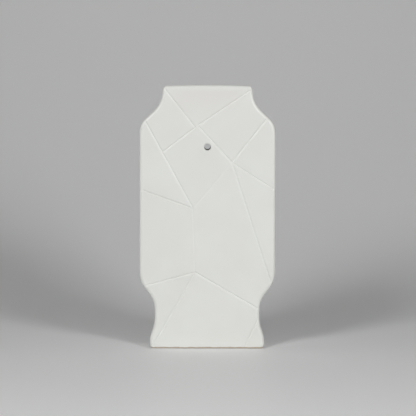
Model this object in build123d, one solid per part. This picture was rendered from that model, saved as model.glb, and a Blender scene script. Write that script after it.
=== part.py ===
from build123d import *
import math
import os

# Hanging wall vase, slab built in white ceramic. Two flat slabs of one outline are luted to two
# side strips that follow it, a base slab closes the foot, and a short sleeve joins the two slabs
# around the hole by which the vase hangs on a peg.
# Millimetres, +Z up, front face towards -Y, origin on the ground under the middle of the foot.

# Overall sizes and walls
vase_height = 250.0
vase_depth = 40.0
face_wall = 5.0
side_wall = 5.0
base_thickness = 4.5
base_recess = 1.2
mouth_straight = 2.0

# Half widths of the front outline
rim_half_width = 42.15
neck_half_width = 44.35
body_half_width = 64.6
waist_half_width = 49.9
foot_half_width = 54.5

# Heights of the outline's runs: two down from the rim, then four up from the ground
neck_run = 18.45
shoulder_run = 18.75
foot_run = 10.75
flare_run = 11.75
waist_run = 22.65
hip_run = 18.75

# Rounds in the front outline, and the rise of the rim's middle above its corners
rim_corner_radius = 3.8
neck_radius = 25.8
shoulder_radius = 18.2
hip_radius = 26.3
waist_radius = 25.0
flare_radius = 35.7
foot_radius = 22.4
foot_corner_radius = 5.5
rim_crown = 0.9

# Rounds along the edges, and the depth to which the foot is rubbed flat
edge_round = 3.0
lip_round = 0.8
hole_round = 0.8
foot_rub = 1.4

# Hanging hole, with the sleeve that lines it between the two slabs
hole_radius = 3.1
hole_drop = 58.8
sleeve_wall = 3.5

# Incised lines on the front face
groove_width = 2.4
groove_depth = 0.5
faint_depth = 0.2
groove_run_out = 12.0

# Allowances: how far a cutter stands clear of the vase, and the largest share that a round may
# take of its wall, of the run it lies on, or of the corner it goes round
clear_of_vase = 5.0
lip_share = 0.25
edge_share = 0.7
crown_share = 0.85
run_share = 0.98
corner_share = 0.85

inner_half_depth = vase_depth / 2 - face_wall
hole_height = vase_height - hole_drop
neck_slant = math.atan2(neck_half_width - rim_half_width, neck_run - rim_crown)
rim_corner_reach = math.tan((math.pi / 2 - neck_slant) / 2)
rim_wall = side_wall / math.cos(neck_slant) - mouth_straight * math.tan(neck_slant)
lip = min(lip_round, lip_share * face_wall, lip_share * rim_wall, corner_share * mouth_straight)
rim_corner = min(rim_corner_radius, corner_share * (rim_wall - lip) / rim_corner_reach)


def half_corners():
    """Corners of the right half of the outline, from the rim down to below the ground."""
    neck_end = vase_height - neck_run
    body_top = neck_end - shoulder_run
    waist_bottom = foot_run + flare_run
    waist_top = waist_bottom + waist_run
    body_bottom = waist_top + hip_run
    return [
        Vector(rim_half_width, vase_height - rim_crown),
        Vector(neck_half_width, neck_end),
        Vector(body_half_width, body_top),
        Vector(body_half_width, body_bottom),
        Vector(waist_half_width, waist_top),
        Vector(waist_half_width, waist_bottom),
        Vector(foot_half_width, foot_run),
        Vector(foot_half_width, -foot_rub),
    ]


def half_radii():
    """Radii of the corners between the rim and the ground, in the same order."""
    return [neck_radius, shoulder_radius, hip_radius, waist_radius, flare_radius, foot_radius]


def mirrored(points):
    """The same points on the left side, from the ground up."""
    return [Vector(-point.X, point.Y) for point in reversed(points)]


def fitted_radii(corners, radii):
    """Radii of a closed chain of corners, made smaller where two rounds would meet."""
    runs = [after - corner for corner, after in zip(corners, corners[1:] + corners[:1])]
    turns = [math.radians(before.get_angle(run)) for before, run in zip(runs[-1:] + runs, runs)]
    reaches = [radius * math.tan(turn / 2) for radius, turn in zip(radii, turns)]
    room = [run_share * run.length for run in runs]
    wanted = [here + there for here, there in zip(reaches, reaches[1:] + reaches[:1])]
    shares = [has / max(has, wants) for has, wants in zip(room, wanted)]
    return [radius * min(pair) for radius, *pair in zip(radii, shares[-1:] + shares, shares)]


def rounded_face(corners, radii):
    """Face inside a closed chain of rounded corners."""
    return make_face(Plane.XZ * FilletPolyline(corners, radius=radii, close=True))


def outline_chain():
    """Corners of the whole front outline, with a slightly arched rim, and their radii."""
    right = half_corners()
    rise = rim_crown / (1 - crown_share / 2)
    crown_radius = crown_share * rim_half_width**2 / rise
    crown = Vector(0, vase_height - rim_crown + rise)
    radii = [rim_corner] + half_radii() + [foot_corner_radius]
    corners = [crown] + right + mirrored(right)
    return corners, fitted_radii(corners, [crown_radius] + radii + radii[::-1])


def cavity():
    """Room inside the walls, carried on through the rim and the foot."""
    right = half_corners()
    runs = [(after - before).normalized() for before, after in zip(right, right[1:])]
    inward = [Vector(run.Y, -run.X) for run in runs]
    mouth_half_width = rim_half_width - rim_wall
    corners = [
        Vector(mouth_half_width, vase_height + clear_of_vase),
        Vector(mouth_half_width, vase_height - rim_crown - mouth_straight),
    ]
    radii = [0.0, 0.0]
    for corner, before, after, radius in zip(right[1:], inward, inward[1:], half_radii()):
        mitre = (before + after) / (1 + before.dot(after))
        change = math.copysign(side_wall, before.cross(after).Z)
        corners.append(corner + mitre * side_wall)
        radii.append(max(radius + change, lip))
    corners.append(right[-1] + inward[-1] * side_wall + runs[-1] * clear_of_vase)
    radii.append(0.0)
    chain = corners + mirrored(corners)
    face = rounded_face(chain, fitted_radii(chain, radii + radii[::-1]))
    return extrude(face, inner_half_depth, both=True)


def between_heights(low, high):
    """A block that holds everything between two heights."""
    reach = vase_height + 2 * vase_depth
    block = Box(reach, reach, high - low)
    return Pos(0, 0, (low + high) / 2) * block


def across(radius, half_length):
    """A round bar through the hanging hole, along Y."""
    bar = Cylinder(radius, 2 * half_length)
    return Pos(0, 0, hole_height) * Rot(X=90) * bar


def on_face(half_width, width_share, height_share):
    """A point of the front face, by its share of one of the half widths and of the height."""
    return Vector(width_share * half_width, height_share * vase_height)


def along(start, end, share):
    """A point part of the way from one point to another."""
    return start + (end - start) * share


def off_edge(start, end):
    """The end of a line, carried past the edge that it runs off."""
    return end + (end - start).normalized() * groove_run_out


def incised_lines():
    """Ends and depth of each incised line. Those that run off an edge are carried past it."""
    upper = on_face(body_half_width, 0.359, 0.706)
    middle = on_face(body_half_width, -0.211, 0.532)
    lower = on_face(body_half_width, -0.177, 0.289)
    neck_left = on_face(rim_half_width, -0.278, 0.838)
    neck_right = on_face(rim_half_width, -0.217, 0.845)
    shoulder_left = on_face(body_half_width, -0.902, 0.858)
    shoulder_joint = along(shoulder_left, middle, 0.35)
    waist_right = on_face(waist_half_width, 0.976, 0.112)
    foot_right = on_face(foot_half_width, 0.673, 0.012)
    lines_to_an_edge = [
        (neck_left, on_face(rim_half_width, -0.945, 0.980)),
        (neck_right, on_face(rim_half_width, 0.987, 0.982)),
        (middle, shoulder_left),
        (upper, on_face(body_half_width, 0.863, 0.870)),
        (upper, on_face(body_half_width, 0.965, 0.606)),
        (upper, on_face(body_half_width, 0.931, 0.253)),
        (middle, on_face(body_half_width, -0.977, 0.603)),
        (lower, on_face(body_half_width, -0.903, 0.238)),
        (lower, on_face(foot_half_width, -0.933, 0.012)),
        (lower, on_face(waist_half_width, 0.967, 0.151)),
        (off_edge(foot_right, waist_right), foot_right),
    ]
    lines = [(start, off_edge(start, end), groove_depth) for start, end in lines_to_an_edge]
    lines += [(shoulder_joint, neck_left, groove_depth), (neck_right, upper, groove_depth)]
    return lines + [(upper, middle, faint_depth), (middle, lower, faint_depth)]


def groove_cutter(start, end, depth):
    """A V-shaped bar along one incised line, its point sunk into the front face."""
    run = end - start
    direction = Vector(run.X, 0, run.Y)
    begin = Vector(start.X, -vase_depth / 2, start.Y)
    section_plane = Plane(begin, x_dir=direction.cross(Vector(0, 1, 0)), z_dir=direction)
    inward = section_plane.y_dir.Y * depth
    section = Polyline((-groove_width, -inward), (groove_width, -inward), (0, inward), close=True)
    return extrude(make_face(section_plane * section), run.length, dir=direction)


def hollow_body():
    """The luted walls as one piece: rounded outside, hollow inside, with the hanging hole."""
    corners, radii = outline_chain()
    outer_edge = min(edge_round, edge_share * face_wall, corner_share * min(radii))
    block = extrude(rounded_face(corners, radii), vase_depth / 2, both=True)
    faces = block.faces().sort_by(Axis.Y)
    rounded = fillet(faces[0].edges() + faces[-1].edges(), outer_edge)
    room = cavity()
    hollow = rounded - room
    mouth_edges = new_edges(rounded, room, combined=hollow).filter_by(lambda edge: edge.center().Z > 0)
    footed = fillet(mouth_edges, lip) - between_heights(-clear_of_vase - foot_rub, 0)
    bar = across(hole_radius, vase_depth)
    bored = footed - bar
    hole_edges = new_edges(footed, bar, combined=bored).group_by(Axis.Y)
    return fillet(hole_edges[0] + hole_edges[-1], hole_round)


def slab(body, side):
    """The slab on one side, cut off at its luted joint: -1 is the front, +1 the back."""
    joint = Plane((0, side * inner_half_depth, 0), z_dir=(0, side, 0))
    return split(body, bisect_by=joint, keep=Keep.TOP)


def side_strip(body, side):
    """The strip between the two slabs on one side: -1 is the left, +1 the right."""
    strip = split(body, bisect_by=Plane.YZ, keep=Keep.TOP if side > 0 else Keep.BOTTOM)
    for face_side in (-1, 1):
        joint = Plane((0, face_side * inner_half_depth, 0), z_dir=(0, face_side, 0))
        strip = split(strip, bisect_by=joint, keep=Keep.BOTTOM)
    return strip


def front_wall(body):
    """The front slab with its incised lines."""
    wall = slab(body, -1)
    return wall - [groove_cutter(*line) for line in incised_lines()]


def base_slab():
    """The slab that closes the foot, set in between the four walls."""
    return cavity() & between_heights(base_recess, base_recess + base_thickness)


def hanging_sleeve():
    """The tube that lines the hanging hole from slab to slab."""
    return across(hole_radius + sleeve_wall, inner_half_depth) - across(hole_radius, vase_depth)


walls = hollow_body()
pieces = {
    "front_wall": front_wall(walls),
    "back_wall": slab(walls, 1),
    "left_side_wall": side_strip(walls, -1),
    "right_side_wall": side_strip(walls, 1),
    "base_slab": base_slab(),
    "hanging_sleeve": hanging_sleeve(),
}
os.makedirs("parts", exist_ok=True)
for name, piece in pieces.items():
    piece.label = name
    export_step(piece, f"parts/{name}.step")
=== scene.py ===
import math

import bmesh
import bpy
import numpy as np
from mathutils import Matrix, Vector, noise
from mathutils.geometry import delaunay_2d_cdt


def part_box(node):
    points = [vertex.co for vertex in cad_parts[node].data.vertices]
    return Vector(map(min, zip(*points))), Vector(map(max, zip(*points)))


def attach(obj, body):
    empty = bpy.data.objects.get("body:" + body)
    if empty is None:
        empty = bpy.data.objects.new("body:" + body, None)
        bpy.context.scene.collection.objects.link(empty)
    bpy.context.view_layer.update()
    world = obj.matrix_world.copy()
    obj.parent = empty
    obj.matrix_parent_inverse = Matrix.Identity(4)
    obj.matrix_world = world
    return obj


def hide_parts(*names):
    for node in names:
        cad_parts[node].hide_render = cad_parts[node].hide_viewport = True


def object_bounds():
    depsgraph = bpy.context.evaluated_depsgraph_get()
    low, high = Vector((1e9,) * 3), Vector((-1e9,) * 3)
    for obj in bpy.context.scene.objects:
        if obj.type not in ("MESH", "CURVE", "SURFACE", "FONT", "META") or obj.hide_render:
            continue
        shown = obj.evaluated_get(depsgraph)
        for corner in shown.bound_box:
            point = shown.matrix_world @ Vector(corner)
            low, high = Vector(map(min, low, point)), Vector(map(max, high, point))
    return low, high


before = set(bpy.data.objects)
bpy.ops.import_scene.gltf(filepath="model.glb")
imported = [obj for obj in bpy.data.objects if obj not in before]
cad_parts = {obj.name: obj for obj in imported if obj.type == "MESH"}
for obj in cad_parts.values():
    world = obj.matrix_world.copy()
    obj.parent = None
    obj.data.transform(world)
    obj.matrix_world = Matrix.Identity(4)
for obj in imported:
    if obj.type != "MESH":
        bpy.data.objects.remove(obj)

# Hanging wall vase: slabs and strips of white clay, luted together and fired under a satin glaze.
# Metres, +Z up, front face towards -Y, origin on the ground under the middle of the foot.

# Sizes that the frame gives
cad_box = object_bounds()
base_low, base_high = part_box("base_slab")
sleeve_low, sleeve_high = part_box("hanging_sleeve")
vase_height = cad_box[1].z
body_half_width = cad_box[1].x
half_depth = cad_box[1].y
inner_half_depth = base_high.y
hole_height = (sleeve_low.z + sleeve_high.z) / 2
sleeve_radius = (sleeve_high.z - sleeve_low.z) / 2

# Half widths of the front outline
rim_half_width = 0.04215
neck_half_width = 0.04435
waist_half_width = 0.04990
foot_half_width = 0.05450

# Heights of the outline's runs: two down from the rim, then four up from the ground
neck_run = 0.01845
shoulder_run = 0.01875
foot_run = 0.01075
flare_run = 0.01175
waist_run = 0.02265
hip_run = 0.01875

# Rounds in the front outline, the rise of the rim's middle, and the depth of the straight mouth
rim_corner_radius = 0.0038
neck_radius = 0.0258
shoulder_radius = 0.0182
hip_radius = 0.0263
waist_radius = 0.0250
flare_radius = 0.0357
foot_radius = 0.0224
foot_corner_radius = 0.0055
rim_crown = 0.0009
crown_share = 0.85
mouth_straight = 0.0020

# Edges, hole, lines, joints and the unevenness left by hand
edge_round = 0.0030
edge_spread = 0.0034
lip_round = 0.0008
foot_rub = 0.0014
hole_radius = 0.0031
hole_round = 0.0008
groove_half_width = 0.00135
groove_depth = 0.00065
faint_depth = 0.00022
wall_coil = 0.0030
sleeve_coil = 0.0020
base_hollow = 0.00035
hand_wave = 0.00008
wave_length = 0.045

# Fineness of the meshes
arc_step = 0.0008
run_step = 0.0040
face_step = 0.0060
turn_steps = 5
depth_rows = 5
base_rows = 10
hole_sides = 48
edge_tries = 500
flat_margin = 0.0003
merge_gap = 0.000002
skin_turn = math.radians(40)
sharp_turn = math.radians(35)

# Values worked out from the sizes
side_wall = foot_half_width - base_high.x
neck_slant = math.atan2(neck_half_width - rim_half_width, neck_run - rim_crown)
rim_wall = side_wall / math.cos(neck_slant) - mouth_straight * math.tan(neck_slant)
mouth_half_width = rim_half_width - rim_wall
foot_corner_top = foot_corner_radius - foot_rub
calm_run = wave_length / 4
spot_margin = face_step / 3
skin_inset = edge_spread * (1 - math.sin(skin_turn))
skin_margin = edge_spread / 20
edge_reach = 4 * edge_spread
coil_top = vase_height - 2 * wall_coil


# Outline of the vase

def half_corners():
    """Corners of the right half outline below the crown of the rim: across, up, radius."""
    neck_end = vase_height - neck_run
    body_top = neck_end - shoulder_run
    waist_bottom = foot_run + flare_run
    waist_top = waist_bottom + waist_run
    body_bottom = waist_top + hip_run
    return [
        (rim_half_width, vase_height - rim_crown, rim_corner_radius),
        (neck_half_width, neck_end, neck_radius),
        (body_half_width, body_top, shoulder_radius),
        (body_half_width, body_bottom, hip_radius),
        (waist_half_width, waist_top, waist_radius),
        (waist_half_width, waist_bottom, flare_radius),
        (foot_half_width, foot_run, foot_radius),
        (foot_half_width, -foot_rub, foot_corner_radius),
    ]


def all_corners():
    """All corners clockwise, from the crown of the rim."""
    right = half_corners()
    rise = rim_crown / (1 - crown_share / 2)
    crown = (0.0, vase_height - rim_crown + rise, crown_share * rim_half_width**2 / rise)
    return [crown] + right + [(-across, up, radius) for across, up, radius in reversed(right)]


def arc_round(before, corner, after):
    """Points round one corner, each as across, up and the direction that faces outwards."""
    radius = corner[2]
    place = np.array(corner[:2])
    come = place - before[:2]
    go = np.array(after[:2]) - place
    come_angle = math.atan2(come[1], come[0])
    turn = math.remainder(math.atan2(go[1], go[0]) - come_angle, 2 * math.pi)
    side = -math.copysign(1.0, turn)
    start = place - come / np.linalg.norm(come) * radius * math.tan(abs(turn) / 2)
    facing = come_angle + math.pi / 2
    centre = start - side * radius * np.array((math.cos(facing), math.sin(facing)))
    count = max(turn_steps, math.ceil(radius * abs(turn) / arc_step))
    angles = facing + turn * np.linspace(0, 1, count + 1)
    outward = np.column_stack((np.cos(angles), np.sin(angles)))
    return np.hstack((centre + side * radius * outward, outward))


def straight_run(start, end):
    """Points between two rounds, without the ends."""
    count = math.ceil(np.linalg.norm(end[:2] - start[:2]) / run_step)
    shares = np.linspace(0, 1, count + 1)[1:-1, None]
    return start + (end - start) * shares


def lip_places():
    """Distances from the mouth's wall at which the lip's round is drawn, from the top down."""
    turns = np.linspace(0, math.pi / 2, turn_steps + 1)
    return lip_round * (1 - np.sin(turns))


def with_lip_places(loop):
    """The outline with more points on the rim, where the mouth's two ends are rounded."""
    places = mouth_half_width + lip_places()
    stations = np.sort(np.concatenate((-places, places)))
    rows = []
    for here, there in zip(loop, np.roll(loop, -1, axis=0)):
        rows.append(here)
        if min(here[3], there[3]) > math.cos(sharp_turn):
            inside = stations[(stations > here[0] + merge_gap) & (stations < there[0] - merge_gap)]
            shares = (inside - here[0]) / (there[0] - here[0])
            rows.extend(here + (there - here) * share for share in shares)
    return np.array(rows)


def whole_outline():
    """The outline clockwise, as across, up and the outward direction of each point."""
    corners = all_corners()
    after = corners[1:] + corners[:1]
    arcs = [arc_round(corners[k - 1], corner, after[k]) for k, corner in enumerate(corners)]
    rows = []
    for arc, next_arc in zip(arcs, arcs[1:] + arcs[:1]):
        rows.extend((arc, straight_run(arc[-1], next_arc[0])))
    return with_lip_places(np.vstack(rows))


outline = whole_outline()


def inset(amount):
    """The outline moved inwards by one amount, or by an amount for each of its points."""
    return outline[:, :2] - outline[:, 2:] * np.reshape(amount, (-1, 1))


def distances(points, starts, ends):
    """Table of the distance from each point to each straight run."""
    runs = ends - starts
    offsets = points[:, None, :] - starts
    shares = np.clip(np.sum(offsets * runs, axis=2) / np.sum(runs**2, axis=1), 0, 1)
    return np.linalg.norm(offsets - shares[..., None] * runs, axis=2)


def from_edge(points):
    """Distance of each point of a face from the outline."""
    border = outline[:, :2]
    return distances(points, border, np.roll(border, -1, axis=0)).min(axis=1)


def smooth_step(values, low, high):
    """Soft rise from 0 at low to 1 at high."""
    shares = np.clip((values - low) / (high - low), 0, 1)
    return shares**2 * (3 - 2 * shares)


def quarter_round(gaps, radius):
    """Height of a round that runs up a wall, at each distance from the wall."""
    left = np.clip(radius - gaps, 0, radius)
    return radius - np.sqrt(radius**2 - left**2)


# Incised lines

def on_face(half_width, width_share, height_share):
    """A point of the front face, by its share of one of the half widths and of the height."""
    return np.array((width_share * half_width, height_share * vase_height))


def along(start, end, share):
    """A point part of the way from one point to another."""
    return start + (end - start) * share


def incised_lines():
    """Start and end of each line, its depth, and whether its end runs off an edge."""
    upper = on_face(body_half_width, 0.359, 0.706)
    middle = on_face(body_half_width, -0.211, 0.532)
    lower = on_face(body_half_width, -0.177, 0.289)
    neck_left = on_face(rim_half_width, -0.278, 0.838)
    neck_right = on_face(rim_half_width, -0.217, 0.845)
    shoulder_left = on_face(body_half_width, -0.902, 0.858)
    shoulder_joint = along(shoulder_left, middle, 0.35)
    waist_right = on_face(waist_half_width, 0.976, 0.112)
    foot_right = on_face(foot_half_width, 0.673, 0.012)
    foot_middle = along(waist_right, foot_right, 0.5)
    lines_to_an_edge = [
        (neck_left, on_face(rim_half_width, -0.945, 0.980)),
        (neck_right, on_face(rim_half_width, 0.987, 0.982)),
        (middle, shoulder_left),
        (upper, on_face(body_half_width, 0.863, 0.870)),
        (upper, on_face(body_half_width, 0.965, 0.606)),
        (upper, on_face(body_half_width, 0.931, 0.253)),
        (middle, on_face(body_half_width, -0.977, 0.603)),
        (lower, on_face(body_half_width, -0.903, 0.238)),
        (lower, on_face(foot_half_width, -0.933, 0.012)),
        (lower, on_face(waist_half_width, 0.967, 0.151)),
        (foot_middle, waist_right),
        (foot_middle, foot_right),
    ]
    lines = [(start, end, groove_depth, True) for start, end in lines_to_an_edge]
    lines += [(shoulder_joint, neck_left, groove_depth, False), (neck_right, upper, groove_depth, False)]
    return lines + [(upper, middle, faint_depth, False), (middle, lower, faint_depth, False)]


def to_the_edge(start, end):
    """The end of a line, moved to where the face has turned away at the edge."""
    run = end - start
    carried = end + run / np.linalg.norm(run) * edge_reach
    tries = start + (carried - start) * np.linspace(0, 1, edge_tries)[:, None]
    is_inside = from_edge(tries) > skin_inset + skin_margin
    return tries[np.argmin(is_inside) - 1]


def line_rows(lines):
    """Rows of points along each line, side by side across its groove and just beside it."""
    half = np.append(np.linspace(0, groove_half_width, turn_steps + 1), groove_half_width + flat_margin)
    places = np.append(-half[:0:-1], half)
    rows = []
    for start, end, depth, runs_off in lines:
        run = (end - start) / np.linalg.norm(end - start)
        aside = np.array((-run[1], run[0]))
        for place in places:
            first = start + aside * place
            last = end + aside * place
            if runs_off:
                last = to_the_edge(first, last)
            count = math.ceil(np.linalg.norm(last - first) / run_step)
            rows.append(first + (last - first) * np.linspace(0, 1, count + 1)[:, None])
    return rows


def groove_sink(points, lines):
    """How far the lines sink into the face at each of its points."""
    starts = np.array([start for start, end, depth, runs_off in lines])
    ends = np.array([end + (end - start) * runs_off for start, end, depth, runs_off in lines])
    depths = np.array([depth for start, end, depth, runs_off in lines])
    gaps = distances(points, starts, ends) / groove_half_width
    return (depths * np.clip(1 - gaps**2, 0, 1) ** 2).max(axis=1)


# Mesh building

def row_of(bm, points, depth):
    """A row of vertices at one depth."""
    return [bm.verts.new((across, depth, up)) for across, up in points]


def join_rows(bm, first, second, material=0):
    """Quads between two closed rows of vertices."""
    faces = []
    for k in range(len(first)):
        faces.append(bm.faces.new((first[k - 1], first[k], second[k], second[k - 1])))
        faces[-1].material_index = material
    return faces


def join_all(bm, rows, material=0):
    """Quads between each closed row and the next."""
    for first, second in zip(rows, rows[1:]):
        join_rows(bm, first, second, material)


def circle(radius):
    """Points round the hanging hole."""
    angles = np.linspace(0, 2 * math.pi, hole_sides, endpoint=False)
    return np.column_stack((radius * np.cos(angles), hole_height + radius * np.sin(angles)))


def add_row(points, edges, row, closed):
    """Adds a row of points and the edges along it."""
    first = len(points)
    last = first + len(row) - 1
    points.extend(Vector(point) for point in row)
    edges.extend((k, k + 1) for k in range(first, last))
    if closed:
        edges.append((last, first))


def fill_face(loops, rows, spots):
    """Triangles inside the first loop and outside the hole, along all loops and rows."""
    points = []
    edges = []
    for loop in loops:
        add_row(points, edges, loop, True)
    for row in rows:
        add_row(points, edges, row, False)
    points.extend(Vector(spot) for spot in spots)
    flat, _, faces, *_ = delaunay_2d_cdt(points, edges, [], 1, merge_gap)
    flat = np.array(flat)
    centres = np.array([flat[list(face)].mean(axis=0) for face in faces])
    hole = np.linalg.norm(loops[-1][0] - (0, hole_height))
    clear = np.hypot(centres[:, 0], centres[:, 1] - hole_height) > hole
    return flat, [face for face, is_clear in zip(faces, clear) if is_clear]


def add_face(bm, flat, faces, depths, material=0):
    """Adds the triangles of a face at the given depths."""
    verts = {}
    for face in faces:
        for k in face:
            if k not in verts:
                verts[k] = bm.verts.new((flat[k][0], depths[k], flat[k][1]))
        bm.faces.new([verts[k] for k in face]).material_index = material


def half_width_at(heights):
    """Half width of the outline at each height."""
    right = outline[outline[:, 0] > rim_half_width / 2]
    order = np.argsort(right[:, 1])
    return np.interp(heights, right[order, 1], right[order, 0])


def face_spots(lines):
    """Evenly spread points of a face, clear of its edge, the hole and the lines."""
    across = np.arange(-body_half_width, body_half_width, face_step)
    up = np.arange(0, vase_height, face_step)
    grid = np.array([(x + face_step / 2 * (k % 2), z) for k, z in enumerate(up) for x in across])
    clear = np.abs(grid[:, 0]) < half_width_at(grid[:, 1]) - edge_spread - spot_margin
    clear &= from_edge(grid) > edge_spread + spot_margin
    clear &= np.hypot(grid[:, 0], grid[:, 1] - hole_height) > hole_radius + hole_round + spot_margin
    if lines:
        starts = np.array([start for start, end, depth, runs_off in lines])
        ends = np.array([end for start, end, depth, runs_off in lines])
        clear &= distances(grid, starts, ends).min(axis=1) > groove_half_width + spot_margin
    return grid[clear]


def hand_waves(points, phase):
    """Slight unevenness left by hand, from 0 to 1."""
    places = [Vector((across / wave_length, phase, up / wave_length)) for across, up in points]
    return np.array([(1 + noise.noise(place)) / 2 for place in places])


def outer_face(bm, side, lines):
    """The outer face of a slab, out to where its edge has turned away."""
    turns = np.linspace(skin_turn, 0, turn_steps)
    loops = [inset(edge_spread * (1 - math.sin(turn))) for turn in turns]
    loops.append(inset(edge_spread + flat_margin))
    loops.append(circle(hole_radius + hole_round + flat_margin))
    loops.append(circle(hole_radius + hole_round))
    flat, faces = fill_face(loops, line_rows(lines), face_spots(lines))
    gaps = from_edge(flat)
    sinks = quarter_round(gaps * edge_round / edge_spread, edge_round)
    hole_gaps = np.hypot(flat[:, 0], flat[:, 1] - hole_height) - hole_radius - hole_round
    calm = smooth_step(np.minimum(gaps - edge_spread, hole_gaps), 0, calm_run)
    sinks += hand_wave * calm * hand_waves(flat, side)
    if lines:
        fade = smooth_step(gaps, skin_inset, edge_spread)
        sinks += fade * groove_sink(flat, lines)
    add_face(bm, flat, faces, side * (half_depth - sinks))


def lip_inset(reach):
    """How far the rim is rounded away at each outline point, at one distance from the inner face."""
    beside = np.abs(outline[:, 0]) - mouth_half_width
    drop = quarter_round(np.maximum(beside, reach), lip_round)
    return np.where(outline[:, 3] > 0, drop, 0)


def slab_edge(bm, side):
    """The edge of a slab, from its turned outer edge to the joint, with the lip at the mouth."""
    rows = []
    for turn in np.linspace(skin_turn, math.pi / 2, turn_steps + 1):
        depth = half_depth - edge_round * (1 - math.cos(turn))
        rows.append(row_of(bm, inset(edge_spread * (1 - math.sin(turn))), side * depth))
    for reach in lip_places():
        rows.append(row_of(bm, inset(lip_inset(reach)), side * (inner_half_depth + reach)))
    join_all(bm, rows)


def slab_hole(bm, side):
    """The hanging hole through a slab, rounded at its outer end."""
    rows = []
    for turn in np.linspace(0, math.pi / 2, turn_steps + 1):
        radius = hole_radius + hole_round * (1 - math.sin(turn))
        depth = half_depth - hole_round * (1 - math.cos(turn))
        rows.append(row_of(bm, circle(radius), side * depth))
    rows.append(row_of(bm, circle(hole_radius), side * inner_half_depth))
    join_all(bm, rows)


def inner_face(bm, side):
    """The flat inner face of a slab."""
    flat, faces = fill_face([inset(lip_inset(0.0)), circle(hole_radius)], [], [])
    add_face(bm, flat, faces, np.full(len(flat), side * inner_half_depth), 1)


def stand_on_ground(bm):
    """Rubs the foot flat at ground level."""
    everything = bm.verts[:] + bm.edges[:] + bm.faces[:]
    ground = {"plane_co": (0, 0, 0), "plane_no": (0, 0, -1)}
    bmesh.ops.bisect_plane(bm, geom=everything, dist=merge_gap, clear_outer=True, **ground)
    bmesh.ops.holes_fill(bm, edges=[edge for edge in bm.edges if edge.is_boundary])


def finish_piece(bm, name, node, materials):
    """Turns a built piece into an object that stands for its node."""
    bmesh.ops.remove_doubles(bm, verts=bm.verts, dist=merge_gap)
    bmesh.ops.recalc_face_normals(bm, faces=bm.faces)
    mesh = bpy.data.meshes.new(name)
    bm.to_mesh(mesh)
    bm.free()
    mesh.shade_smooth()
    mesh.set_sharp_from_angle(angle=sharp_turn)
    for material in materials:
        mesh.materials.append(material)
    piece = bpy.data.objects.new(name, mesh)
    bpy.context.scene.collection.objects.link(piece)
    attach(piece, "root")
    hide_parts(node)
    return piece


# Pieces

def make_slab(name, node, side, lines):
    """A slab with its hole and turned edge: side -1 is the front, +1 the back."""
    bm = bmesh.new()
    outer_face(bm, side, lines)
    slab_edge(bm, side)
    slab_hole(bm, side)
    inner_face(bm, side)
    bmesh.ops.remove_doubles(bm, verts=bm.verts, dist=merge_gap)
    stand_on_ground(bm)
    piece = finish_piece(bm, name, node, [glaze, liner])


def luted_places(half, coil, rows):
    """Places from wall to wall, closer together where the joint's clay runs up the walls."""
    turns = np.linspace(0, math.pi / 2, turn_steps + 1)
    ends = half - coil * (1 - np.sin(turns))[::-1]
    middle = np.linspace(-ends[-1], ends[-1], rows)[1:-1]
    return np.concatenate((-ends, middle, ends[::-1]))


def strip_chains(depth):
    """Outer and inner chain of a right-hand strip at one depth."""
    rim = inset(lip_inset(0.0))
    # The outer chain leaves out the mouth, and what lies under the base.
    is_outer = rim[:, 0] >= mouth_half_width - merge_gap
    is_outer &= (outline[:, 1] > 0) | (rim[:, 0] > base_high.x)
    # The inner chain follows the side from the neck down to the foot's corner.
    is_side = (outline[:, 0] > rim_half_width) & (outline[:, 1] >= foot_corner_top - merge_gap)
    is_side &= outline[:, 3] < math.sin(neck_slant) + merge_gap
    is_side |= (outline[:, 0] > neck_half_width) & (outline[:, 1] > foot_corner_top)
    coil = quarter_round(inner_half_depth - abs(depth), wall_coil)
    coil *= smooth_step(outline[:, 1], base_high.z, base_high.z + wall_coil)
    coil *= 1 - smooth_step(outline[:, 1], vase_height - neck_run, coil_top)
    inner = inset(side_wall + coil)[is_side]
    mouth_end = (mouth_half_width, vase_height - rim_crown - mouth_straight)
    return rim[is_outer], np.vstack((mouth_end, inner, (base_high.x, -foot_rub)))[::-1]


def make_strip(name, node, side):
    """The strip between the slabs on one side: -1 is the left, +1 the right."""
    bm = bmesh.new()
    rows = []
    for depth in luted_places(inner_half_depth, wall_coil, depth_rows):
        outer, inner = strip_chains(depth)
        chain = np.vstack((outer, inner)) * (side, 1)
        rows.append(row_of(bm, chain, depth))
    for first, second in zip(rows, rows[1:]):
        for face in join_rows(bm, first, second)[len(outer) + 1:]:
            face.material_index = 1
    bm.faces.new(rows[0])
    bm.faces.new(rows[-1])
    stand_on_ground(bm)
    piece = finish_piece(bm, name, node, [glaze, liner])


def make_sleeve(name, node):
    """The sleeve round the hanging hole, with the clay of its joints drawn out at both ends."""
    bm = bmesh.new()
    depths = luted_places(inner_half_depth, sleeve_coil, depth_rows)
    rows = [row_of(bm, circle(hole_radius), depth) for depth in depths]
    for depth in depths[::-1]:
        radius = sleeve_radius + quarter_round(inner_half_depth - abs(depth), sleeve_coil)
        rows.append(row_of(bm, circle(radius), depth))
    inside = len(depths)
    join_all(bm, rows[:inside])
    join_all(bm, rows[inside - 1:], 1)
    join_rows(bm, rows[-1], rows[0], 1)
    piece = finish_piece(bm, name, node, [bore, liner])


def base_top(across, deep):
    """Height of the base inside the vase, drawn up where it meets the walls."""
    gap = min(base_high.x - abs(across), inner_half_depth - abs(deep))
    return base_high.z + float(quarter_round(gap, wall_coil))


def base_under(across, deep):
    """Height of the base underneath, slightly hollow."""
    share = (1 - (across / base_high.x) ** 2) * (1 - (deep / inner_half_depth) ** 2)
    return base_low.z + base_hollow * share


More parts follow.
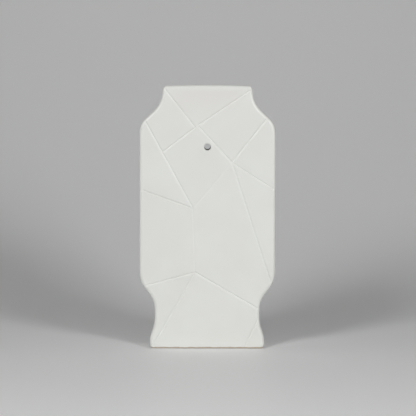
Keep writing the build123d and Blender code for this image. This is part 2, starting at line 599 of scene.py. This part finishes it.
def make_base(name, node):
    """The slab in the foot."""
    bm = bmesh.new()
    across = luted_places(base_high.x, wall_coil, base_rows)
    deep = luted_places(inner_half_depth, wall_coil, base_rows)
    sheets = []
    for height, material in ((base_top, 1), (base_under, 0)):
        sheet = [[bm.verts.new((x, y, height(x, y))) for x in across] for y in deep]
        sheets.append(sheet)
        for front, back in zip(sheet, sheet[1:]):
            for k in range(1, len(across)):
                face = bm.faces.new((front[k - 1], front[k], back[k], back[k - 1]))
                face.material_index = material
    rims = []
    for sheet in sheets:
        right = [row[-1] for row in sheet[1:-1]]
        left = [row[0] for row in sheet[-2:0:-1]]
        rims.append(sheet[0] + right + sheet[-1][::-1] + left)
    join_rows(bm, *rims)
    piece = finish_piece(bm, name, node, [clay, liner])


# Shader helpers and effects shared by the materials

cloud_detail = 2.0
fine_detail = 3.0
fine_ratio = 9.0
cloud_low = 0.3
cloud_high = 0.7
grain_detail = 4.0
wobble_scale = 180.0
wobble_detail = 2.0
wiped_least = 0.5


def add_node(tree, kind, wires=None, **settings):
    """A node with its settings, its inputs wired to sockets or set to values."""
    made = tree.nodes.new(kind)
    for name, value in settings.items():
        setattr(made, name, value)
    for name, value in (wires or {}).items():
        if isinstance(value, bpy.types.NodeSocket):
            tree.links.new(value, made.inputs[name])
        else:
            made.inputs[name].default_value = value
    return made


def new_group(name, inputs, outputs):
    """An empty node group with float inputs and float outputs."""
    tree = bpy.data.node_groups.new(name, "ShaderNodeTree")
    for label, value in inputs.items():
        socket = tree.interface.new_socket(label, in_out="INPUT", socket_type="NodeSocketFloat")
        socket.default_value = value
    for label in outputs:
        tree.interface.new_socket(label, in_out="OUTPUT", socket_type="NodeSocketFloat")
    return tree, tree.nodes.new("NodeGroupInput").outputs, tree.nodes.new("NodeGroupOutput").inputs


def math_step(tree, operation, first, second=0.0, third=0.0):
    """The result of one calculation on values or sockets."""
    wires = {0: first, 1: second, 2: third}
    return add_node(tree, "ShaderNodeMath", wires, operation=operation).outputs[0]


def soft_range(tree, value, low, high):
    """A soft rise from 0 at low to 1 at high."""
    wires = {"Value": value, "From Min": low, "From Max": high}
    made = add_node(tree, "ShaderNodeMapRange", wires, interpolation_type="SMOOTHSTEP")
    return made.outputs["Result"]


def object_place(tree):
    """Place on the vase, in metres."""
    return add_node(tree, "ShaderNodeTexCoord").outputs["Object"]


def cloud_group():
    """Soft clouding of fired glaze: a slow tone and a finer one."""
    tree, given, out = new_group("glaze_clouding", {"Size": 0.03}, ["Slow", "Fine"])
    scale = math_step(tree, "DIVIDE", 1.0, given["Size"])
    place = object_place(tree)
    slow_wires = {"Vector": place, "Scale": scale, "Detail": cloud_detail}
    slow = add_node(tree, "ShaderNodeTexNoise", slow_wires)
    fine_scale = math_step(tree, "MULTIPLY", scale, fine_ratio)
    fine_wires = {"Vector": place, "Scale": fine_scale, "Detail": fine_detail}
    fine = add_node(tree, "ShaderNodeTexNoise", fine_wires)
    tree.links.new(soft_range(tree, slow.outputs["Fac"], cloud_low, cloud_high), out["Slow"])
    tree.links.new(soft_range(tree, fine.outputs["Fac"], cloud_low, cloud_high), out["Fine"])
    return tree


def speck_group():
    """Small specks in some cells of an irregular pattern."""
    inputs = {"Spacing": 0.01, "Radius": 0.0003, "Share": 0.3}
    tree, given, out = new_group("clay_specks", inputs, ["Mask"])
    scale = math_step(tree, "DIVIDE", 1.0, given["Spacing"])
    wires = {"Vector": object_place(tree), "Scale": scale}
    cells = add_node(tree, "ShaderNodeTexVoronoi", wires)
    gap = math_step(tree, "MULTIPLY", cells.outputs["Distance"], given["Spacing"])
    dot = math_step(tree, "SUBTRACT", 1.0, soft_range(tree, gap, 0.0, given["Radius"]))
    draw = add_node(tree, "ShaderNodeSeparateColor", {"Color": cells.outputs["Color"]})
    chosen = math_step(tree, "LESS_THAN", draw.outputs["Red"], given["Share"])
    tree.links.new(math_step(tree, "MULTIPLY", dot, chosen), out["Mask"])
    return tree


def grain_group():
    """Fine grain of the surface, as a height from 0 to 1."""
    tree, given, out = new_group("fine_grain", {"Size": 0.001, "Roughness": 0.6}, ["Height"])
    scale = math_step(tree, "DIVIDE", 1.0, given["Size"])
    wires = {"Vector": object_place(tree), "Scale": scale, "Detail": grain_detail}
    wires["Roughness"] = given["Roughness"]
    grain = add_node(tree, "ShaderNodeTexNoise", wires)
    tree.links.new(grain.outputs["Fac"], out["Height"])
    return tree


def foot_group():
    """The band above the ground from which the glaze is wiped, with an uneven edge."""
    tree, given, out = new_group("wiped_foot", {"Height": 0.0012, "Softness": 0.0004}, ["Mask"])
    place = object_place(tree)
    wires = {"Vector": place, "Scale": wobble_scale, "Detail": wobble_detail}
    wobble = add_node(tree, "ShaderNodeTexNoise", wires)
    up = add_node(tree, "ShaderNodeSeparateXYZ", {"Vector": place}).outputs["Z"]
    shift = math_step(tree, "MULTIPLY", wobble.outputs["Fac"], given["Height"])
    least = math_step(tree, "MULTIPLY", given["Height"], wiped_least)
    line = math_step(tree, "ADD", shift, least)
    above = math_step(tree, "SUBTRACT", up, line)
    edge = math_step(tree, "DIVIDE", above, given["Softness"])
    tree.links.new(math_step(tree, "SUBTRACT", 1.0, soft_range(tree, edge, -1.0, 1.0)), out["Mask"])
    return tree


def new_material(name):
    """A material with a plain shader, and its node tree."""
    material = bpy.data.materials.new(name)
    material.use_nodes = True
    return material, material.node_tree, material.node_tree.nodes["Principled BSDF"]


def place_group(tree, group, **values):
    """A node group placed in a material with its own values."""
    made = add_node(tree, "ShaderNodeGroup", node_tree=group)
    for label, value in values.items():
        made.inputs[label].default_value = value
    return made.outputs


def blend(tree, share, first, second):
    """A colour between two colours."""
    wires = {"Factor": share, 6: first, 7: second}
    made = add_node(tree, "ShaderNodeMix", wires, data_type="RGBA")
    return made.outputs[2]


def between(tree, share, low, high):
    """A value from low to high."""
    return math_step(tree, "MULTIPLY_ADD", share, high - low, low)


def bumped(tree, shader, height, distance):
    """Gives a shader the relief of a height from 0 to 1."""
    relief = add_node(tree, "ShaderNodeBump", {"Height": height, "Distance": distance})
    tree.links.new(relief.outputs["Normal"], shader.inputs["Normal"])


# Materials

glaze_white = (0.740, 0.748, 0.718, 1)
glaze_shade = (0.722, 0.726, 0.692, 1)
# Painted shade: a darker, warmer white for the top panel below the middle of the rim.
rim_shade_tint = (0.713, 0.704, 0.677, 1)
glaze_ior = 1.55
glaze_roughness = (0.31, 0.39)
glaze_relief = 0.00001
glaze_speck_strength = 0.45
wiped_roughness = 0.35
liner_white = (0.720, 0.722, 0.680, 1)
liner_pool = (0.660, 0.670, 0.630, 1)
liner_roughness = (0.16, 0.30)
liner_relief = 0.00004
clay_pale = (0.660, 0.610, 0.530, 1)
clay_warm = (0.560, 0.490, 0.400, 1)
# Dark brown for the bare foot band: partly the clay's own tone, partly painted contact shadow where the
# foot meets the ground.
clay_contact_shadow = (0.330, 0.265, 0.195, 1)
clay_roughness = (0.78, 0.92)
clay_relief = 0.00012
clay_speck_strength = 0.60
# Painted shade: dark browns for the hanging hole's bore, in place of the shadow inside it.
bore_painted_shade = (0.230, 0.180, 0.130, 1)
bore_painted_deep_shade = (0.140, 0.105, 0.075, 1)
bore_roughness = (0.85, 0.97)
bore_specular = 0.2
speck_brown = (0.300, 0.240, 0.180, 1)
paper_tone = 0.950
fibre_tone = paper_tone * 0.97
paper_roughness = 0.50
paper_relief = 0.00002
paper_grey = (paper_tone, paper_tone, paper_tone, 1)
paper_fibre = (fibre_tone, fibre_tone, fibre_tone, 1)


def rim_painted_shade(tree):
    """Share of painted shade below the middle of the rim, which darkens the top panel as if less light
    fell there; it leaves out the top edge and the rim's two ends.
    """
    place = add_node(tree, "ShaderNodeSeparateXYZ", {"Vector": object_place(tree)}).outputs
    shade_start = vase_height - 2 * neck_run
    top_edge_start = vase_height - 2 * edge_spread
    below = soft_range(tree, place["Z"], shade_start, top_edge_start)
    top_edge = soft_range(tree, place["Z"], top_edge_start, vase_height - edge_spread)
    off_middle = math_step(tree, "ABSOLUTE", place["X"])
    aside = soft_range(tree, off_middle, rim_half_width / 2, rim_half_width)
    unshaded = math_step(tree, "MAXIMUM", top_edge, aside)
    return math_step(tree, "MULTIPLY", below, math_step(tree, "SUBTRACT", 1.0, unshaded))


def make_glaze():
    """Satin white glaze with painted shade below the middle of the rim, wiped off the bare clay at the
    foot, where a darker brown paints the contact shadow.
    """
    material, tree, shader = new_material("satin_white_glaze")
    cloud = place_group(tree, clouding, Size=0.035)
    grain = place_group(tree, graining, Size=0.0012, Roughness=0.55)
    speck = place_group(tree, specking, Spacing=0.020, Radius=0.00020, Share=0.06)["Mask"]
    bare = place_group(tree, wiped_foot, Height=0.0012, Softness=0.00035)["Mask"]
    white = blend(tree, cloud["Slow"], glaze_white, glaze_shade)
    # Painted shade: the white turns darker and warmer below the middle of the rim.
    fired = blend(tree, rim_painted_shade(tree), white, rim_shade_tint)
    dots = math_step(tree, "MULTIPLY", speck, glaze_speck_strength)
    speckled = blend(tree, dots, fired, speck_brown)
    # Bare clay at the foot, blended towards a darker brown that is painted contact shadow.
    foot = blend(tree, grain["Height"], clay_warm, clay_contact_shadow)
    tree.links.new(blend(tree, bare, speckled, foot), shader.inputs["Base Color"])
    satin = between(tree, cloud["Fine"], *glaze_roughness)
    dull = math_step(tree, "MULTIPLY_ADD", bare, wiped_roughness, satin)
    tree.links.new(dull, shader.inputs["Roughness"])
    pitted = math_step(tree, "SUBTRACT", grain["Height"], speck)
    bumped(tree, shader, pitted, glaze_relief)
    shader.inputs["IOR"].default_value = glaze_ior
    return material


def make_liner():
    """Glossier glaze poured inside, a little thicker where it pooled."""
    material, tree, shader = new_material("poured_liner_glaze")
    cloud = place_group(tree, clouding, Size=0.022)
    grain = place_group(tree, graining, Size=0.003, Roughness=0.4)
    tree.links.new(blend(tree, cloud["Slow"], liner_white, liner_pool), shader.inputs["Base Color"])
    tree.links.new(between(tree, cloud["Fine"], *liner_roughness), shader.inputs["Roughness"])
    bumped(tree, shader, grain["Height"], liner_relief)
    return material


def make_clay():
    """Bare fired clay under the foot."""
    material, tree, shader = new_material("bare_white_clay")
    cloud = place_group(tree, clouding, Size=0.020)
    grain = place_group(tree, graining, Size=0.0009, Roughness=0.7)
    speck = place_group(tree, specking, Spacing=0.006, Radius=0.0003, Share=0.35)["Mask"]
    tone = math_step(tree, "MULTIPLY", cloud["Slow"], grain["Height"])
    body = blend(tree, tone, clay_pale, clay_warm)
    dots = math_step(tree, "MULTIPLY", speck, clay_speck_strength)
    tree.links.new(blend(tree, dots, body, speck_brown), shader.inputs["Base Color"])
    tree.links.new(between(tree, cloud["Fine"], *clay_roughness), shader.inputs["Roughness"])
    bumped(tree, shader, grain["Height"], clay_relief)
    return material


def make_shaded_bore():
    """Bare clay of the hanging hole, which the glaze doesn't reach, painted a dark brown that stands in
    for the shade deep inside the bore.
    """
    material, tree, shader = new_material("bore_clay_painted_shade")
    cloud = place_group(tree, clouding, Size=0.006)
    grain = place_group(tree, graining, Size=0.0009, Roughness=0.7)
    tree.links.new(blend(tree, cloud["Slow"], bore_painted_shade, bore_painted_deep_shade), shader.inputs["Base Color"])
    tree.links.new(between(tree, cloud["Fine"], *bore_roughness), shader.inputs["Roughness"])
    shader.inputs["Specular IOR Level"].default_value = bore_specular
    bumped(tree, shader, grain["Height"], clay_relief)
    return material


def make_paper():
    """Pale paper of the sweep, clear when it is seen from behind."""
    material, tree, shader = new_material("grey_paper")
    grain = place_group(tree, graining, Size=0.0016, Roughness=0.6)
    tree.links.new(blend(tree, grain["Height"], paper_grey, paper_fibre), shader.inputs["Base Color"])
    shader.inputs["Roughness"].default_value = paper_roughness
    bumped(tree, shader, grain["Height"], paper_relief)
    behind = add_node(tree, "ShaderNodeNewGeometry").outputs["Backfacing"]
    clear = add_node(tree, "ShaderNodeBsdfTransparent").outputs["BSDF"]
    wires = {"Fac": behind, 1: shader.outputs["BSDF"], 2: clear}
    one_sided = add_node(tree, "ShaderNodeMixShader", wires).outputs["Shader"]
    tree.links.new(one_sided, tree.nodes["Material Output"].inputs["Surface"])
    return material


# Stage

sweep_half_width = 2.5
sweep_front = -2.6
sweep_back = 0.913
cove_radius = 0.677
sweep_height = 2.2
cove_steps = 23
ground_gap = 0.0002


def make_sweep():
    """Paper sweep: the floor, a cove and the backdrop."""
    turns = np.linspace(0, math.pi / 2, cove_steps + 1)
    cove = [
        (sweep_back - cove_radius * (1 - math.sin(turn)), cove_radius * (1 - math.cos(turn)))
        for turn in turns
    ]
    profile = [(sweep_front, 0.0)] + cove + [(sweep_back, sweep_height)]
    bm = bmesh.new()
    rows = []
    for deep, up in profile:
        places = ((across, deep, up - ground_gap) for across in (-sweep_half_width, sweep_half_width))
        rows.append([bm.verts.new(place) for place in places])
    for first, second in zip(rows, rows[1:]):
        bm.faces.new((first[0], first[1], second[1], second[0]))
    mesh = bpy.data.meshes.new("paper_sweep")
    bm.to_mesh(mesh)
    bm.free()
    mesh.shade_smooth()
    mesh.materials.append(make_paper())
    sweep = bpy.data.objects.new("paper_sweep", mesh)
    bpy.context.scene.collection.objects.link(sweep)


# Lights

light_aim_height = 0.006
light_aim = Vector((0, 0, light_aim_height))
light_distance = 1.90
left_azimuth = math.radians(-28.0)
left_elevation = math.radians(29.0)
right_azimuth = math.radians(29.3)
right_elevation = math.radians(20.5)
light_spread = math.radians(117)
light_width = 0.435
light_height = 0.585
light_power_left = 5.22
light_power_right = 6.05
top_direction = Vector((0, -0.7, 1))
top_size = 0.50
top_spread = math.radians(180)
top_power = 1.20
side_distance = 1.80
side_rise = 0.18
side_width = 1.40
side_height = 0.35
side_spread = math.radians(70)
side_power = 0.40
world_white = (1, 1, 1, 1)
world_level = 0.004
world_seen = 0.42


def soft_box(name, away, width, height, power, spread):
    """A soft box at a place away from the vase, turned towards it and not itself in view."""
    lamp = bpy.data.lights.new(name, "AREA")
    lamp.shape = "RECTANGLE"
    lamp.size = width
    lamp.size_y = height
    lamp.energy = power
    lamp.spread = spread
    box = bpy.data.objects.new(name, lamp)
    box.location = light_aim + away
    box.rotation_euler = (-away).to_track_quat("-Z", "Y").to_euler()
    box.visible_camera = False
    bpy.context.scene.collection.objects.link(box)


def in_front(azimuth, elevation):
    """The way from the vase to a front soft box, by its angle to the side and upwards."""
    level = light_distance * math.cos(elevation)
    rise = light_distance * math.sin(elevation)
    return Vector((math.sin(azimuth) * level, -math.cos(azimuth) * level, rise))


def make_lights():
    """Two soft boxes in front, one above them and a low panel on the left."""
    left = in_front(left_azimuth, left_elevation)
    right = in_front(right_azimuth, right_elevation)
    above = top_direction.normalized() * light_distance
    beside = Vector((-side_distance, 0, side_rise))
    soft_box("soft_box_left", left, light_width, light_height, light_power_left, light_spread)
    soft_box("soft_box_right", right, light_width, light_height, light_power_right, light_spread)
    soft_box("soft_box_above", above, top_size, top_size, top_power, top_spread)
    soft_box("side_panel", beside, side_width, side_height, side_power, side_spread)


def make_world():
    """A weak even light, seen as a plain grey wherever the paper ends."""
    world = bpy.data.worlds.new("even_light")
    world.use_nodes = True
    tree = world.node_tree
    rays = add_node(tree, "ShaderNodeLightPath").outputs
    seen = math_step(tree, "ADD", rays["Is Camera Ray"], rays["Is Glossy Ray"])
    seen = math_step(tree, "ADD", seen, rays["Is Transmission Ray"])
    sky = tree.nodes["Background"].inputs
    sky["Color"].default_value = world_white
    tree.links.new(between(tree, seen, world_level, world_seen), sky["Strength"])
    bpy.context.scene.world = world


# Camera, with the length of its lens in pixels of the square frame

frame_pixels = 416
lens_pixels = 2012.1
camera_place = Vector((-0.007, -1.92, 0.250))
camera_aim = Vector((0.0006, -0.020, 0.1335))
camera_angle = 2 * math.atan(frame_pixels / 2 / lens_pixels)
camera_roll = math.radians(0.14)


def make_camera():
    """Camera in front of the vase, level with its rim, with a long lens."""
    lens = bpy.data.cameras.new("camera")
    lens.angle = camera_angle
    camera = bpy.data.objects.new("camera", lens)
    camera.location = camera_place
    turn = (camera_aim - camera_place).to_track_quat("-Z", "Y")
    camera.rotation_euler = turn.to_euler()
    camera.rotation_euler.rotate_axis("Z", camera_roll)
    bpy.context.scene.collection.objects.link(camera)
    bpy.context.scene.camera = camera
    bpy.context.scene.view_settings.view_transform = "Standard"


# Building

clouding = cloud_group()
specking = speck_group()
graining = grain_group()
wiped_foot = foot_group()
glaze = make_glaze()
liner = make_liner()
clay = make_clay()
bore = make_shaded_bore()

make_slab("front_slab", "front_wall", -1, incised_lines())
make_slab("back_slab", "back_wall", 1, [])
make_strip("left_strip", "left_side_wall", -1)
make_strip("right_strip", "right_side_wall", 1)
make_base("foot_base", "base_slab")
make_sleeve("hole_sleeve", "hanging_sleeve")
make_sweep()
make_lights()
make_world()
make_camera()
